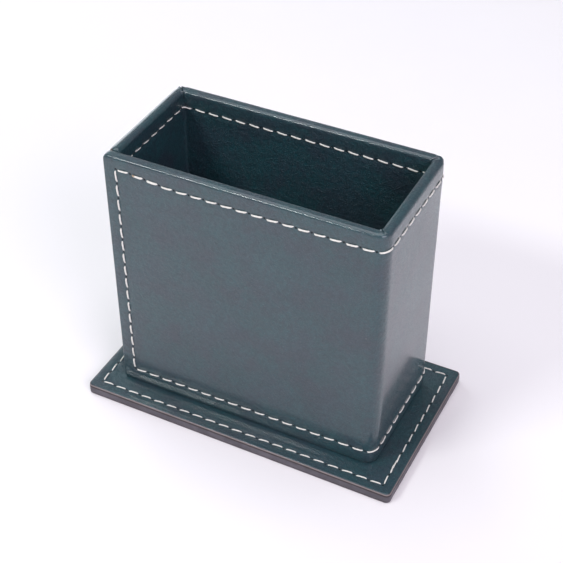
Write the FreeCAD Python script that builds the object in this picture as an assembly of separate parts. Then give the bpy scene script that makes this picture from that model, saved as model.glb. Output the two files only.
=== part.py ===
"""A stitched leatherette pen cup on a wider foot plate, written as one STEP file per piece.

Millimetres, +Z up, +X along the cup's long side, +Y to the back. The origin is the centre of the
foot plate's underside. The four walls are one sewn strip: boards between a cover and a lining,
folded round three rounded corners and closed at the sharp front left corner, where the left
wall butts against the back of the front wall.
"""

import FreeCAD, Part
import math
import os

V = FreeCAD.Vector

# Cup, measured over the leatherette
cup_width = 100.0  # along X
cup_depth = 49.0  # along Y
cup_height = 98.8  # above the foot plate
fold_radius = 4.5  # upright folded corners, outside

# Foot plate: how far it stands out past the cup on each side
margin_side = 10.2
margin_front = 9.9
margin_back = 9.1
plate_corner_radius = 1.8

# Layers
skin = 0.7  # every leatherette layer
wall_board = 2.5
floor_board = 2.0
plate_board = 2.6
edge_paint = 0.3  # coat on the foot plate's cut edge
edge_paint_ease = 0.25  # rounding of the coat's outer corners

# Edges of the wall strip
board_ease = 0.8  # rounding of the boards' edges under the cover
turn_in = 2.0  # how far the cover turns over an edge on to the inner face
closing_gap = 0.1  # open line where the left wall meets the front wall

# Floor pad
floor_clearance = 0.2  # between the pad and the wall lining

# Sewing
thread = 0.8  # thickness of a stitch
stitch_pitch = 5.4
hole_gap = 0.75  # bare length at each end of a stitch, down to its needle hole
rim_seam_drop = 6.3  # below the rim
foot_seam_rise = 6.0  # above the foot plate
front_end_seam_clear = 0.8  # past the left wall's inner face, so that the seam stays in the cup
left_end_seam_inset = 3.4  # from the front end of the left wall
plate_seam_inset = 4.0  # from the foot plate's edge
seam_channel_width = 1.4  # sunk channel in the underside skin
seam_channel_depth = 0.5

# First and last needle holes of each wall, measured from the outer faces that it meets
front_run_stop = 3.4
right_run_start = 5.1
right_run_stop = 4.8
back_run_inset = 7.7
left_run_start = 5.7

# Derived sizes
wall = skin + wall_board + skin
plate_thickness = skin + plate_board + skin
plate_width = cup_width + 2 * margin_side
plate_depth = cup_depth + margin_front + margin_back
cup_y = (margin_front - margin_back) / 2

left = -cup_width / 2
right = cup_width / 2
front = cup_y - cup_depth / 2
back = cup_y + cup_depth / 2
foot = plate_thickness
rim = foot + cup_height
closing_y = front + wall + closing_gap  # front end of the left wall

rim_seam_z = rim - rim_seam_drop
foot_seam_z = foot + foot_seam_rise
front_end_x = left + wall + front_end_seam_clear
left_end_y = closing_y + left_end_seam_inset
plate_seam_x = plate_width / 2 - plate_seam_inset
plate_seam_y = plate_depth / 2 - plate_seam_inset


def extrude(edges, z0, z1):
    """A straight solid over a closed outline drawn at z = 0."""
    face = Part.Face(Part.Wire(edges))
    face.translate(V(0, 0, z0))
    return face.extrude(V(0, 0, z1 - z0))


def lines(points):
    """Straight edges through the points, in order."""
    return [Part.makeLine(V(*a, 0), V(*b, 0)) for a, b in zip(points, points[1:])]


def fold_arc(x, y, radius, start):
    """The quarter circle of a folded corner, centred at x, y, from the angle start (degrees)."""
    at = [math.radians(start + turn) for turn in (0, 45, 90)]
    points = [V(x + radius * math.cos(a), y + radius * math.sin(a), 0) for a in at]
    return Part.Arc(*points).toShape()


def strip(outer, inner, end, z0, z1):
    """The wall strip seen from above as an open C, extruded.

    outer and inner are its depths below the outer faces, and end is its distance from the
    strip's two ends.
    """
    radius = fold_radius - outer
    x0, x1 = left + outer, right - outer
    y0, y1 = front + outer, back - outer
    a, b = left + fold_radius, right - fold_radius
    c, d = front + fold_radius, back - fold_radius
    stop = closing_y + end
    edges = lines([(left + end, y0), (b, y0)])
    edges += [fold_arc(b, c, radius, -90)] + lines([(x1, c), (x1, d)])
    edges += [fold_arc(b, d, radius, 0)] + lines([(b, y1), (a, y1)])
    edges += [fold_arc(a, d, radius, 90)] + lines([(x0, d), (x0, stop)])
    edges += lines(
        [
            (x0, stop),
            (left + inner, stop),
            (left + inner, back - inner),
            (right - inner, back - inner),
            (right - inner, front + inner),
            (left + end, front + inner),
            (left + end, y0),
        ]
    )
    return extrude(edges, z0, z1)


def edges_at(shape, z):
    """The edges that lie level at the height z."""
    return [edge for edge in shape.Edges if abs(edge.BoundBox.ZMin - z) + abs(edge.BoundBox.ZMax - z) < 1e-6]


def ease_level_edges(shape, radius):
    """Rounds every edge of the top and bottom faces."""
    box = shape.BoundBox
    return shape.makeFillet(radius, edges_at(shape, box.ZMin) + edges_at(shape, box.ZMax))


def ease_top_edges(shape, radius):
    """Rounds every edge of the top face."""
    return shape.makeFillet(radius, edges_at(shape, shape.BoundBox.ZMax))


def rounded_plate(inset, z0, z1):
    """The foot plate's outline, inset from its edge, extruded."""
    width = plate_width - 2 * inset
    depth = plate_depth - 2 * inset
    block = Part.makeBox(width, depth, z1 - z0, V(-width / 2, -depth / 2, z0))
    upright = [edge for edge in block.Edges if edge.BoundBox.ZLength > (z1 - z0) / 2]
    return block.makeFillet(plate_corner_radius - inset, upright)


# Wall strip


def wall_core():
    """The space that the four wall boards fill."""
    core = strip(skin, skin + wall_board, skin, foot + skin, rim - skin)
    return ease_level_edges(core, board_ease)


def wall_boards(core):
    """The core, parted at the three mitred folds and at the closing corner."""
    out = fold_radius
    outer = [
        (left - out, front - out),
        (right + out, front - out),
        (right + out, back + out),
        (left - out, back + out),
    ]
    inner = [
        (left + wall, front + wall),
        (right - wall, front + wall),
        (right - wall, back - wall),
        (left + wall, back - wall),
    ]
    closing = (left - out, front + wall)
    regions = {
        "wall_board_front": [outer[0], outer[1], inner[1], closing],
        "wall_board_right": [outer[1], outer[2], inner[2], inner[1]],
        "wall_board_back": [outer[2], outer[3], inner[3], inner[2]],
        "wall_board_left": [outer[3], closing, inner[0], inner[3]],
    }
    return {
        name: core.common(extrude(lines(points + points[:1]), foot, rim))
        for name, points in regions.items()
    }


def wall_lining():
    """The strip's inner layer, inside the border that the cover turns over."""
    return strip(skin + wall_board, wall, turn_in, foot + turn_in, rim - turn_in)


def wall_cover(core, lining):
    """The strip's outer layer, turned over the rim, the foot and both ends."""
    strip_body = strip(0, wall, 0, foot, rim)
    return ease_level_edges(strip_body, board_ease + skin).cut([core, lining])


# Floor pad


def floor_pad():
    """The pad's board, and the lining that covers its top and sides."""
    inset = wall + floor_clearance
    width, depth = cup_width - 2 * inset, cup_depth - 2 * inset
    corner = V(left + inset, front + inset, foot)
    cover = ease_top_edges(Part.makeBox(width, depth, floor_board + skin, corner), skin)
    board = Part.makeBox(width - 2 * skin, depth - 2 * skin, floor_board, corner + V(skin, skin, 0))
    return {"floor_board": board, "floor_lining": cover.cut(board)}


# Foot plate


def seam_frame(half_width):
    """A square-cornered frame that runs along the foot plate's seam, for the sunk channel."""
    outer, inner = [
        Part.makeBox(
            2 * (plate_seam_x + reach),
            2 * (plate_seam_y + reach),
            seam_channel_depth,
            V(-plate_seam_x - reach, -plate_seam_y - reach, 0),
        )
        for reach in (half_width, -half_width)
    ]
    return outer.cut(inner)


def foot_plate():
    """The plate's board between its two skins, and the painted edge round all three."""
    levels = (0, skin, skin + plate_board, plate_thickness)
    under, board, top = [
        rounded_plate(edge_paint, low, high) for low, high in zip(levels, levels[1:])
    ]
    layers = rounded_plate(edge_paint, 0, plate_thickness)
    coat = ease_level_edges(rounded_plate(0, 0, plate_thickness), edge_paint_ease).cut(layers)
    return {
        "plate_board": board,
        "plate_top_skin": top,
        "plate_under_skin": under.cut(seam_frame(seam_channel_width / 2)),
        "plate_edge_paint": coat,
    }


# Sewing


def half_disc(point, along, out):
    """Half of the thread's section at a point: its flat side on the surface, its back outwards."""
    across = along.cross(out).normalize() * (thread / 2)
    crown = out * (thread / 2)
    edges = [
        Part.Arc(point - across, point + crown, point + across).toShape(),
        Part.makeLine(point + across, point - across),
    ]
    return Part.Face(Part.Wire(edges))


def rounded_end(point, out):
    """The half ball that ends a stitch, flat side on the surface."""
    return Part.makeSphere(thread / 2, point, out, 0, 90, 360)


def flat_backed_stitch(length):
    """A stitch along X that lies on the plane z = 0, with its middle at the origin."""
    ends = [V(-length / 2, 0, 0), V(length / 2, 0, 0)]
    shaft = half_disc(ends[0], V(1, 0, 0), V(0, 0, 1)).extrude(ends[1] - ends[0])
    return shaft.multiFuse([rounded_end(point, V(0, 0, 1)) for point in ends])


def straight_run(start, end, out):
    """Equal stitches from the hole at start to the hole at end, on a face with the normal out."""
    run = end - start
    count = max(1, round(run.Length / stitch_pitch))
    step = run / count
    stitch = flat_backed_stitch(step.Length - 2 * hole_gap)
    turn = FreeCAD.Rotation(step, V(), out, "ZXY")
    placed = []
    for i in range(count):
        one = stitch.copy()
        one.Placement = FreeCAD.Placement(start + step * (i + 0.5), turn)
        placed.append(one)
    return placed


def fold_run(centre, start_angle, before, after):
    """Stitches round the outside of a fold.

    before and after are the distances from the fold's arc to the nearest holes on the two walls.
    """
    arc = fold_radius * math.pi / 2

    def out(t):
        angle = math.radians(start_angle) + min(max(t, 0), arc) / fold_radius
        return V(math.cos(angle), math.sin(angle), 0)

    def along(t):
        return V(0, 0, 1).cross(out(t))

    def at(t):
        past = min(t, 0) + max(t - arc, 0)
        return centre + fold_radius * out(t) + past * along(t)

    length = before + arc + after
    count = max(1, round(length / stitch_pitch))
    step = length / count
    stitches = []
    for i in range(count):
        start = -before + i * step + hole_gap
        end = start + step - 2 * hole_gap
        low, high = max(start, 0), min(end, arc)
        turn = math.degrees((high - low) / fold_radius)
        bent = half_disc(at(low), along(low), out(low)).revolve(centre, V(0, 0, 1), turn)
        pieces = [rounded_end(at(t), out(t)) for t in (start, end)]
        for t0, t1 in ((start, low), (high, end)):
            if t1 > t0:
                pieces.append(half_disc(at(t0), along(t0), out(t0)).extrude(at(t1) - at(t0)))
        stitches.append(bent.multiFuse(pieces))
    return stitches


def bent_stitch(hole_a, corner, hole_b):
    """One stitch across a fold's sharp inner corner."""
    to_a, to_b = (hole_a - corner).normalize(), (hole_b - corner).normalize()
    pieces = []
    for hole, along, out in ((hole_a, to_a, to_b), (hole_b, to_b, to_a)):
        reach = (hole - corner).Length - hole_gap
        if reach > thread / 2:
            pieces.append(half_disc(corner, along, out).extrude(along * reach))
            pieces.append(rounded_end(corner + along * reach, out))
    return pieces[0].multiFuse(pieces[1:])


def wall_seam(z):
    """The seam round the four walls at the height z, as its outside and inside rows of stitches."""
    x0, x1, y0, y1 = left + wall, right - wall, front + wall, back - wall
    front_holes = (front_end_x, right - front_run_stop)
    right_holes = (front + right_run_start, back - right_run_stop)
    back_holes = (right - back_run_inset, left + back_run_inset)
    left_holes = (back - left_run_start, left_end_y)

    outside = straight_run(V(front_holes[0], front, z), V(front_holes[1], front, z), V(0, -1, 0))
    outside += straight_run(V(right, right_holes[0], z), V(right, right_holes[1], z), V(1, 0, 0))
    outside += straight_run(V(back_holes[0], back, z), V(back_holes[1], back, z), V(0, 1, 0))
    outside += straight_run(V(left, left_holes[0], z), V(left, left_holes[1], z), V(-1, 0, 0))
    a, b = left + fold_radius, right - fold_radius
    c, d = front + fold_radius, back - fold_radius
    outside += fold_run(V(b, c, z), -90, b - front_holes[1], right_holes[0] - c)
    outside += fold_run(V(b, d, z), 0, d - right_holes[1], b - back_holes[0])
    outside += fold_run(V(a, d, z), 90, back_holes[1] - a, d - left_holes[0])

    front_run = front_holes[1] - front_holes[0]
    front_step = front_run / round(front_run / stitch_pitch)
    last = front_holes[1] - front_step
    inside = straight_run(V(front_holes[0], y0, z), V(last, y0, z), V(0, 1, 0))
    inside += straight_run(V(x1, right_holes[0], z), V(x1, right_holes[1], z), V(-1, 0, 0))
    inside += straight_run(V(back_holes[0], y1, z), V(back_holes[1], y1, z), V(0, -1, 0))
    inside += straight_run(V(x0, left_holes[0], z), V(x0, left_holes[1], z), V(1, 0, 0))
    inside += [
        bent_stitch(V(last, y0, z), V(x1, y0, z), V(x1, right_holes[0], z)),
        bent_stitch(V(x1, right_holes[1], z), V(x1, y1, z), V(back_holes[0], y1, z)),
        bent_stitch(V(back_holes[1], y1, z), V(x0, y1, z), V(x0, left_holes[0], z)),
    ]
    return outside, inside


def upright_seam(x, y, out):
    """A seam that joins the foot seam to the rim seam on one wall face."""
    return straight_run(V(x, y, foot_seam_z), V(x, y, rim_seam_z), out)


def plate_seam(z, out):
    """The seam round the foot plate, on one of its faces."""
    x, y = plate_seam_x, plate_seam_y
    holes = [V(-x, -y, z), V(x, -y, z), V(x, y, z), V(-x, y, z), V(-x, -y, z)]
    stitches = []
    for start, end in zip(holes, holes[1:]):
        stitches += straight_run(start, end, out)
    return stitches


def sewing():
    """Each row of stitches as a group of separate solids."""
    up, into, aside = V(0, 0, 1), V(0, 1, 0), V(1, 0, 0)
    rim_outside, rim_inside = wall_seam(rim_seam_z)
    foot_outside, foot_inside = wall_seam(foot_seam_z)
    rows = {
        "rim_seam_outside": rim_outside,
        "rim_seam_inside": rim_inside,
        "foot_seam_outside": foot_outside,
        "foot_seam_inside": foot_inside,
        "front_end_seam_outside": upright_seam(front_end_x, front, -into),
        "front_end_seam_inside": upright_seam(front_end_x, front + wall, into),
        "left_end_seam_outside": upright_seam(left, left_end_y, -aside),
        "left_end_seam_inside": upright_seam(left + wall, left_end_y, aside),
        "plate_seam_top": plate_seam(plate_thickness, up),
        "plate_seam_under": plate_seam(seam_channel_depth, -up),
    }
    return {name: Part.makeCompound(stitches) for name, stitches in rows.items()}


def main():
    os.makedirs("parts", exist_ok=True)
    core, lining = wall_core(), wall_lining()
    pieces = {"wall_cover": wall_cover(core, lining), "wall_lining": lining}
    pieces |= wall_boards(core)
    pieces |= floor_pad()
    pieces |= foot_plate()
    pieces |= sewing()
    for name, shape in pieces.items():
        shape.exportStep(f"parts/{name}.step")
        print(name, "solids", len(shape.Solids), "valid", shape.isValid(), "mm3", round(shape.Volume, 2))


if __name__ == "__main__":
    main()
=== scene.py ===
"""Stitched leatherette pen cup on a foot plate: the visible pieces, built round the fixed frame.

Everything is in metres, +Z up, +X along the cup's long side and +Y to the back. The four walls
are one sewn strip, so most of the code places things by s, the distance along the strip's outer
face from its free end on the front wall, and by d, the depth inwards from that face.
"""

import math
import random

import bmesh
import bpy
import numpy as np
from bpy.props import FloatProperty, FloatVectorProperty, IntProperty, PointerProperty
from mathutils import Matrix, Vector, noise


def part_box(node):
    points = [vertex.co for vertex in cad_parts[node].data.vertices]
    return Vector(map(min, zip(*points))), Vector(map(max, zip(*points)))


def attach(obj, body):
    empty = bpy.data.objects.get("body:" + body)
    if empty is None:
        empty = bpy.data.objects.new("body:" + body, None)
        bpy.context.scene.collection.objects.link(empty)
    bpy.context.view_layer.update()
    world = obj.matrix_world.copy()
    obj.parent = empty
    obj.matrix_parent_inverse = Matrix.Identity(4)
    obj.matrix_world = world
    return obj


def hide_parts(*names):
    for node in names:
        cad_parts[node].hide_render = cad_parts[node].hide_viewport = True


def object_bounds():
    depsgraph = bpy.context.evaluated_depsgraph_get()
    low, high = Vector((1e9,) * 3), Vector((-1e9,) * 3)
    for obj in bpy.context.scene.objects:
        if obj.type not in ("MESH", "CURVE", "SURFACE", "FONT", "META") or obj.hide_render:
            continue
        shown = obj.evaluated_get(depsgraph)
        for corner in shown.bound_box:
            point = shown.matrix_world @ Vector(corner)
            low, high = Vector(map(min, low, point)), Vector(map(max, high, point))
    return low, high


bl_info = {
    "name": "Stitched Pen Cup",
    "version": (1, 0, 0),
    "blender": (4, 5, 0),
    "location": "3D View > Sidebar > Pen Cup",
    "description": "Builds the visible pieces of a stitched leatherette pen cup round its frame",
    "category": "Object",
}

MM = 0.001

HOLE_CELL = 0.62 * MM  # half the side of the grid cell that holds a needle hole
LINE_GAP = 0.09 * MM  # grid lines are no closer than this
SEAM_FADE = 0.8 * MM  # how far a furrow runs on past its last needle hole
SAME = 1e-7  # what lies closer than this is in the same place

# Grid lines beside the seams, the strip's ends, its folds and the plate's edges
SEAM_LINES = (1.1 * MM, 1.7 * MM, 2.6 * MM)
END_LINES = [v * MM for v in (0.05, 0.15, 0.3, 0.5, 0.9, 1.4, 2.0, 3.0)]
FOLD_LINES = [v * MM for v in (0.12, 0.3, 0.55, 0.9, 1.4, 1.9, 2.5, 3.1, 3.8, 4.5)]
PLATE_LINES = [v * MM for v in (0.06, 0.15, 0.28, 0.45, 0.8, 1.3, 1.8, 2.4, 2.9, 5.2, 6.2)]

ROLL_ROWS, UNDER_ROWS = 13, 7  # grid rows over the rim and under the foot
RIM_PLAN, FOOT_PLAN = 0.82, 0.6  # how square the rolls are across the wall; 1 is round
RIM_SQUARE, FOOT_SQUARE = 0.76, 0.6  # and in height
RIM_SQUARE_CHANGES = ((2, -0.16), (3, 0.30))  # the back wall's rim is flatter, the left's rounder
CREASE_FROM = (0.25, 0.0, -0.3)  # where each fold's crease begins, as a share of the wall
CREASE_DEPTH = (0.9, 1.0, 1.15)
CORNER_TIPS = ((1, 0.8), (2, 1.0))  # folds that are pinched up, and how high
RAW_EDGE = (1, 1, 0.6, 0.2)  # bareness of the left wall's last columns at the rim
RAW_EDGE_ROWS = 5

CORNER_STEPS = 6  # parts of a rounded outline's corner
EDGE_ROWS = (0, 0.02, 0.05, 0.09, 0.14, 0.165, 0.185, 0.21, 0.3, 0.4, 0.5, 0.6, 0.7, 0.77, 0.795,
             0.815, 0.835, 0.86, 0.89, 0.92, 0.945, 0.965, 0.985, 1)  # shares of its thickness
EDGE_EASE = 0.3 * MM  # rounding of the paint's corners
UPPER_LINE = (0.13 * MM, 0.22 * MM)  # depth and half width of the line under the top skin
LOWER_LINE = (0.06 * MM, 0.14 * MM)  # and of the one over the underside skin
SHOULDER, SHOULDER_REACH = 0.955, 0.05  # where the painted highlight runs along the shoulder, as shares of its thickness
PAINT_WAVES = ((0.06 * MM, 5 * MM), (0.03 * MM, 1.6 * MM))  # depth and length

THREAD_SIDES = 10
THREAD_SHARP = math.radians(80)
STITCH_END = (0.0, 0.05, 0.14, 0.28, 0.5, 0.8)  # places of the first rings, in millimetres
STITCH_STEP = 0.55 * MM  # between the rings of the middle
STITCH_RISE = 0.85 * MM  # length over which the ends come up
STITCH_DIP = 0.38 * MM  # how deep they start
STITCH_BOW = 0.05 * MM  # how far the middle stands up
STITCH_REST = 0.72  # height of the middle's axis, as a share of the thread's radius
END_SIZE = 0.55  # of the thread at its ends
PLY_LOBES, THREAD_OVAL = 0.09, 0.88  # depth of the plies and flattening of the section
OUTSIDE_FAT = {"rim": 1.0, "foot": 0.86}  # thickness of the thread's rows
DOUBLED_FAT, PLATE_FAT = 1.12, 0.86
SUNK = 0.1 * MM  # how far a stitch sinks into the leatherette
INSIDE_FAT, INSIDE_SUNK = 0.92, 0.12 * MM
LEFT_FAT, LEFT_SUNK = 0.68, 0.17 * MM  # inside the left wall, where it is drawn tight
DOUBLED = {1: -0.2 * MM, 2: 0.22 * MM}  # rim stitches sewn twice, and the second strand's offset
BURNT_VERTICES = 60  # of the first doubled stitch

AIM = Vector((0, 0, 50 * MM))
AIM_RIGHT, AIM_UP = 2.281 * MM, 0.222 * MM  # the camera's aim, off the middle of the picture
FLOOR_RADII = (0.2, 0.5, 0.8, 1.2)
FLOOR_SIDES = 48
FLOOR_GAP = 0.05 * MM

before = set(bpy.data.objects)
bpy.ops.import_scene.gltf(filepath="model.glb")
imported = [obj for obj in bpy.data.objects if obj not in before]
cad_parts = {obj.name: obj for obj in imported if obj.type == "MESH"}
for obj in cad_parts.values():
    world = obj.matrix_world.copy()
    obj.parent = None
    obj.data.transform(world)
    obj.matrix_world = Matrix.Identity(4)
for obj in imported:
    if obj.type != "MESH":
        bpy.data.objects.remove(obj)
frame_low, frame_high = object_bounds()


# Sizes and colours that a user may change


def length_of(name, about, millimetres):
    """A length property."""
    return FloatProperty(
        name=name, description=about, default=millimetres * MM, unit="LENGTH", precision=5
    )


def angle_of(name, about, degrees):
    """An angle property."""
    angle = math.radians(degrees)
    return FloatProperty(name=name, description=about, default=angle, subtype="ANGLE")


def power_of(name, about, default):
    """A light's power or strength."""
    return FloatProperty(name=name, description=about, default=default, min=0)


def colour_of(name, about, default):
    """A linear colour property."""
    return FloatVectorProperty(
        name=name, description=about, default=default, min=0, max=1, size=3, subtype="COLOR"
    )


class PenCupWallSizes(bpy.types.PropertyGroup):
    fold_radius: length_of("Fold radius", "Outer radius of the three folded corners", 4.5)
    inner_radius: length_of("Inner corner", "Radius of the lining in the inner corners", 1.1)
    roll_height: length_of("Rim roll", "Height over which the rim is rolled", 1.7)
    foot_height: length_of("Foot roll", "Height over which the foot is rolled", 1.5)
    turn_in: length_of("Turn-in", "How far the cover turns on to the inner face", 2.0)
    end_ease: length_of("End edge", "Rounding of the strip's upright end edges", 0.5)
    end_drop: length_of("End drop", "Rounding of the rim at the strip's ends", 1.6)
    furrow: length_of("Furrow", "How deep the seams pull the leatherette in", 0.16)
    furrow_width: length_of("Furrow width", "Half width of the pulled-in furrow", 0.9)
    crease: length_of("Crease", "Depth of the folds at the rim's corners", 0.50)
    tip: length_of("Corner tip", "Height of the pinched tip at the back left corner", 0.55)
    wave: length_of("Unevenness", "How far the stretched faces wander", 0.045)
    rim_wave: length_of("Rim unevenness", "How far the hand-turned rim wanders", 0.05)


class PenCupPlateSizes(bpy.types.PropertyGroup):
    corner_radius: length_of("Corner radius", "Radius of the plate's corners", 1.8)
    edge_roll: length_of("Skin edge", "Rounding of the skins at the plate's edge", 0.45)
    furrow: length_of("Furrow", "How deep the seam pulls the skin in", 0.14)
    furrow_width: length_of("Furrow width", "Half width of the pulled-in furrow", 0.8)
    channel_width: length_of("Channel width", "Sunk seam channel of the underside", 1.4)
    channel_depth: length_of("Channel depth", "Sunk seam channel of the underside", 0.5)
    paint_bulge: length_of("Paint bulge", "How far the edge paint stands out", 0.22)
    wave: length_of("Unevenness", "How far the skins wander", 0.03)


class PenCupSewingSizes(bpy.types.PropertyGroup):
    pitch: length_of("Pitch", "Distance between needle holes", 5.4)
    thread_width: length_of("Thread", "Thickness of the thread", 0.60)
    dive: length_of("Dive", "Distance from a needle hole to a stitch's end", 0.80)
    slant: length_of("Slant", "Sideways offset of a stitch's ends", 0.17)
    ply_turn: length_of("Ply turn", "Length of one turn of the thread's plies", 3.0)
    hole_radius: length_of("Hole radius", "Radius of a needle hole", 0.38)
    hole_depth: length_of("Hole depth", "Depth of a needle hole", 0.55)
    drift: length_of("Drift", "Rise of the rim seam towards the strip's free end", 1.6)
    front_stop: length_of("Front stop", "Last front hole, from the right face", 3.4)
    right_start: length_of("Right start", "First right hole, from the front face", 5.1)
    right_stop: length_of("Right stop", "Last right hole, from the back face", 4.8)
    back_inset: length_of("Back inset", "End holes of the back wall, from its sides", 7.7)
    left_start: length_of("Left start", "First left hole, from the back face", 5.7)
    seed: IntProperty(name="Seed", description="Seed of the stitches' differences", default=7)


class PenCupColours(bpy.types.PropertyGroup):
    leather: colour_of("Leatherette", "Main colour", (0.0155, 0.0770, 0.0950))
    leather_shade: colour_of("Leatherette mottle", "Second colour", (0.0350, 0.0540, 0.0830))
    leather_dust: colour_of("Dust", "Fine specks on the leatherette", (0.35, 0.37, 0.38))
    leather_raw: colour_of("Raw edge", "Bare edge of the leatherette", (0.15, 0.115, 0.10))
    thread: colour_of("Thread", "Sewing thread", (0.80, 0.79, 0.74))
    thread_burnt: colour_of("Burnt thread", "Melted start of the seam", (0.40, 0.28, 0.18))
    edge_paint: colour_of("Edge paint", "Painted edge of the foot plate", (0.104, 0.096, 0.112))
    # a painted highlight: the lighter colour laid along the edge paint's upper shoulder
    edge_highlight: colour_of("Edge shoulder", "Painted highlight on the upper edge", (0.30, 0.25, 0.24))
    edge_line: colour_of("Edge line", "Lines where the layers meet", (0.030, 0.016, 0.015))
    board: colour_of("Board", "Grey board inside", (0.26, 0.235, 0.20))
    floor: colour_of("Floor", "Studio floor", (0.900, 0.875, 0.895))
    sky_low: colour_of("Low surround", "Surround at the horizon", (0.93, 0.92, 0.955))
    sky_high: colour_of("High surround", "Surround overhead", (0.19, 0.195, 0.21))


class PenCupStage(bpy.types.PropertyGroup):
    lens: FloatProperty(name="Lens", description="Focal length", default=82.14, unit="CAMERA")
    azimuth: angle_of("Azimuth", "Camera's turn", 26.818)
    elevation: angle_of("Elevation", "Camera's height", 39.521)
    distance: length_of("Distance", "Camera to the middle of the object", 445.864)
    key_power: power_of("Key", "Power of the key light", 4.6)
    side_power: power_of("Side", "Power of the side light", 6.5)
    top_power: power_of("Overhead", "Power of the top light", 18.2)
    back_power: power_of("Back", "Power of the back light", 6)
    surround: power_of("Surround", "Strength of the surround", 1.0)


SETTINGS = {
    "pen_cup_walls": PenCupWallSizes,
    "pen_cup_plate": PenCupPlateSizes,
    "pen_cup_sewing": PenCupSewingSizes,
    "pen_cup_colours": PenCupColours,
    "pen_cup_stage": PenCupStage,
}


# Shared curves and grid lines


def fade(value, start, end):
    """Runs from 0 at start to 1 at end and stays level beyond them."""
    return np.clip((value - start) / (end - start), 0, 1)


def within(value, low, high, reach):
    """1 between the limits, fading out over the reach beyond them."""
    return fade(value, low - reach, low) * fade(value, high + reach, high)


def bell(x, width):
    """A smooth bump, 1 at 0."""
    return np.exp(-((x / width) ** 2))


def ripple(x, depth, width):
    """A furrow's profile: pulled in at the seam and slightly puffed beside it."""
    return 0.3 * depth * bell(np.abs(x) - 2.4 * width, 1.1 * width) - depth * bell(x, width)


def rounded(e, radius):
    """How far a rounded edge of that radius stands back at the distance e from the edge."""
    left = np.clip(radius - e, 0, radius)
    return radius - np.sqrt(np.maximum(radius**2 - left**2, 0))


def half_turn(rows):
    """Angles of the rows over a rolled edge."""
    return np.linspace(0, math.pi, rows + 2)[1:-1]


def squared(wave, power):
    """A sine or cosine raised to a power below 1, so that it is fuller."""
    return np.sign(wave) * np.abs(wave) ** power


def wander(points, size, seed):
    """Smooth noise from -1 to 1 at the points."""
    shift = Vector((seed * 3.1, seed * 1.7, seed * 2.3))
    values = [noise.noise(Vector(p) / size + shift) for p in points.reshape(-1, 3)]
    return np.array(values).reshape(points.shape[:-1])


def spaced(start, end, pitch):
    """Places from start to end, as near to the pitch as fits."""
    count = max(1, round((end - start) / pitch))
    return [start + (end - start) * k / count for k in range(count + 1)]


def between_each(values, shares):
    """Places at those shares of the way between each value and the next."""
    return {a + (b - a) * share for a, b in zip(values, values[1:]) for share in shares}


def either_side(centres, reaches):
    """Places at those distances on both sides of each centre."""
    return {v + side * reach for v in centres for reach in reaches for side in (-1, 1)}


def nearest(lines, value):
    """The number of the grid line nearest to a value."""
    return int(np.argmin(np.abs(lines - value)))


def thinned(lines, low, high, keep=(), cells=()):
    """Sorted grid lines between two limits, with no near pairs and none across a hole's cell."""
    chosen = sorted({round(v, 9) for v in keep})
    for v in sorted({round(v, 9) for v in lines}):
        clear = all(abs(v - w) > LINE_GAP for w in chosen)
        inside = any(abs(v - cell) < HOLE_CELL for cell in cells)
        if low <= v <= high and clear and not inside:
            chosen.append(v)
    return np.array(sorted(chosen))


def middle(node):
    """The middle of a frame node's box."""
    low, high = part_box(node)
    return (low + high) / 2


# The wall strip


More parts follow.
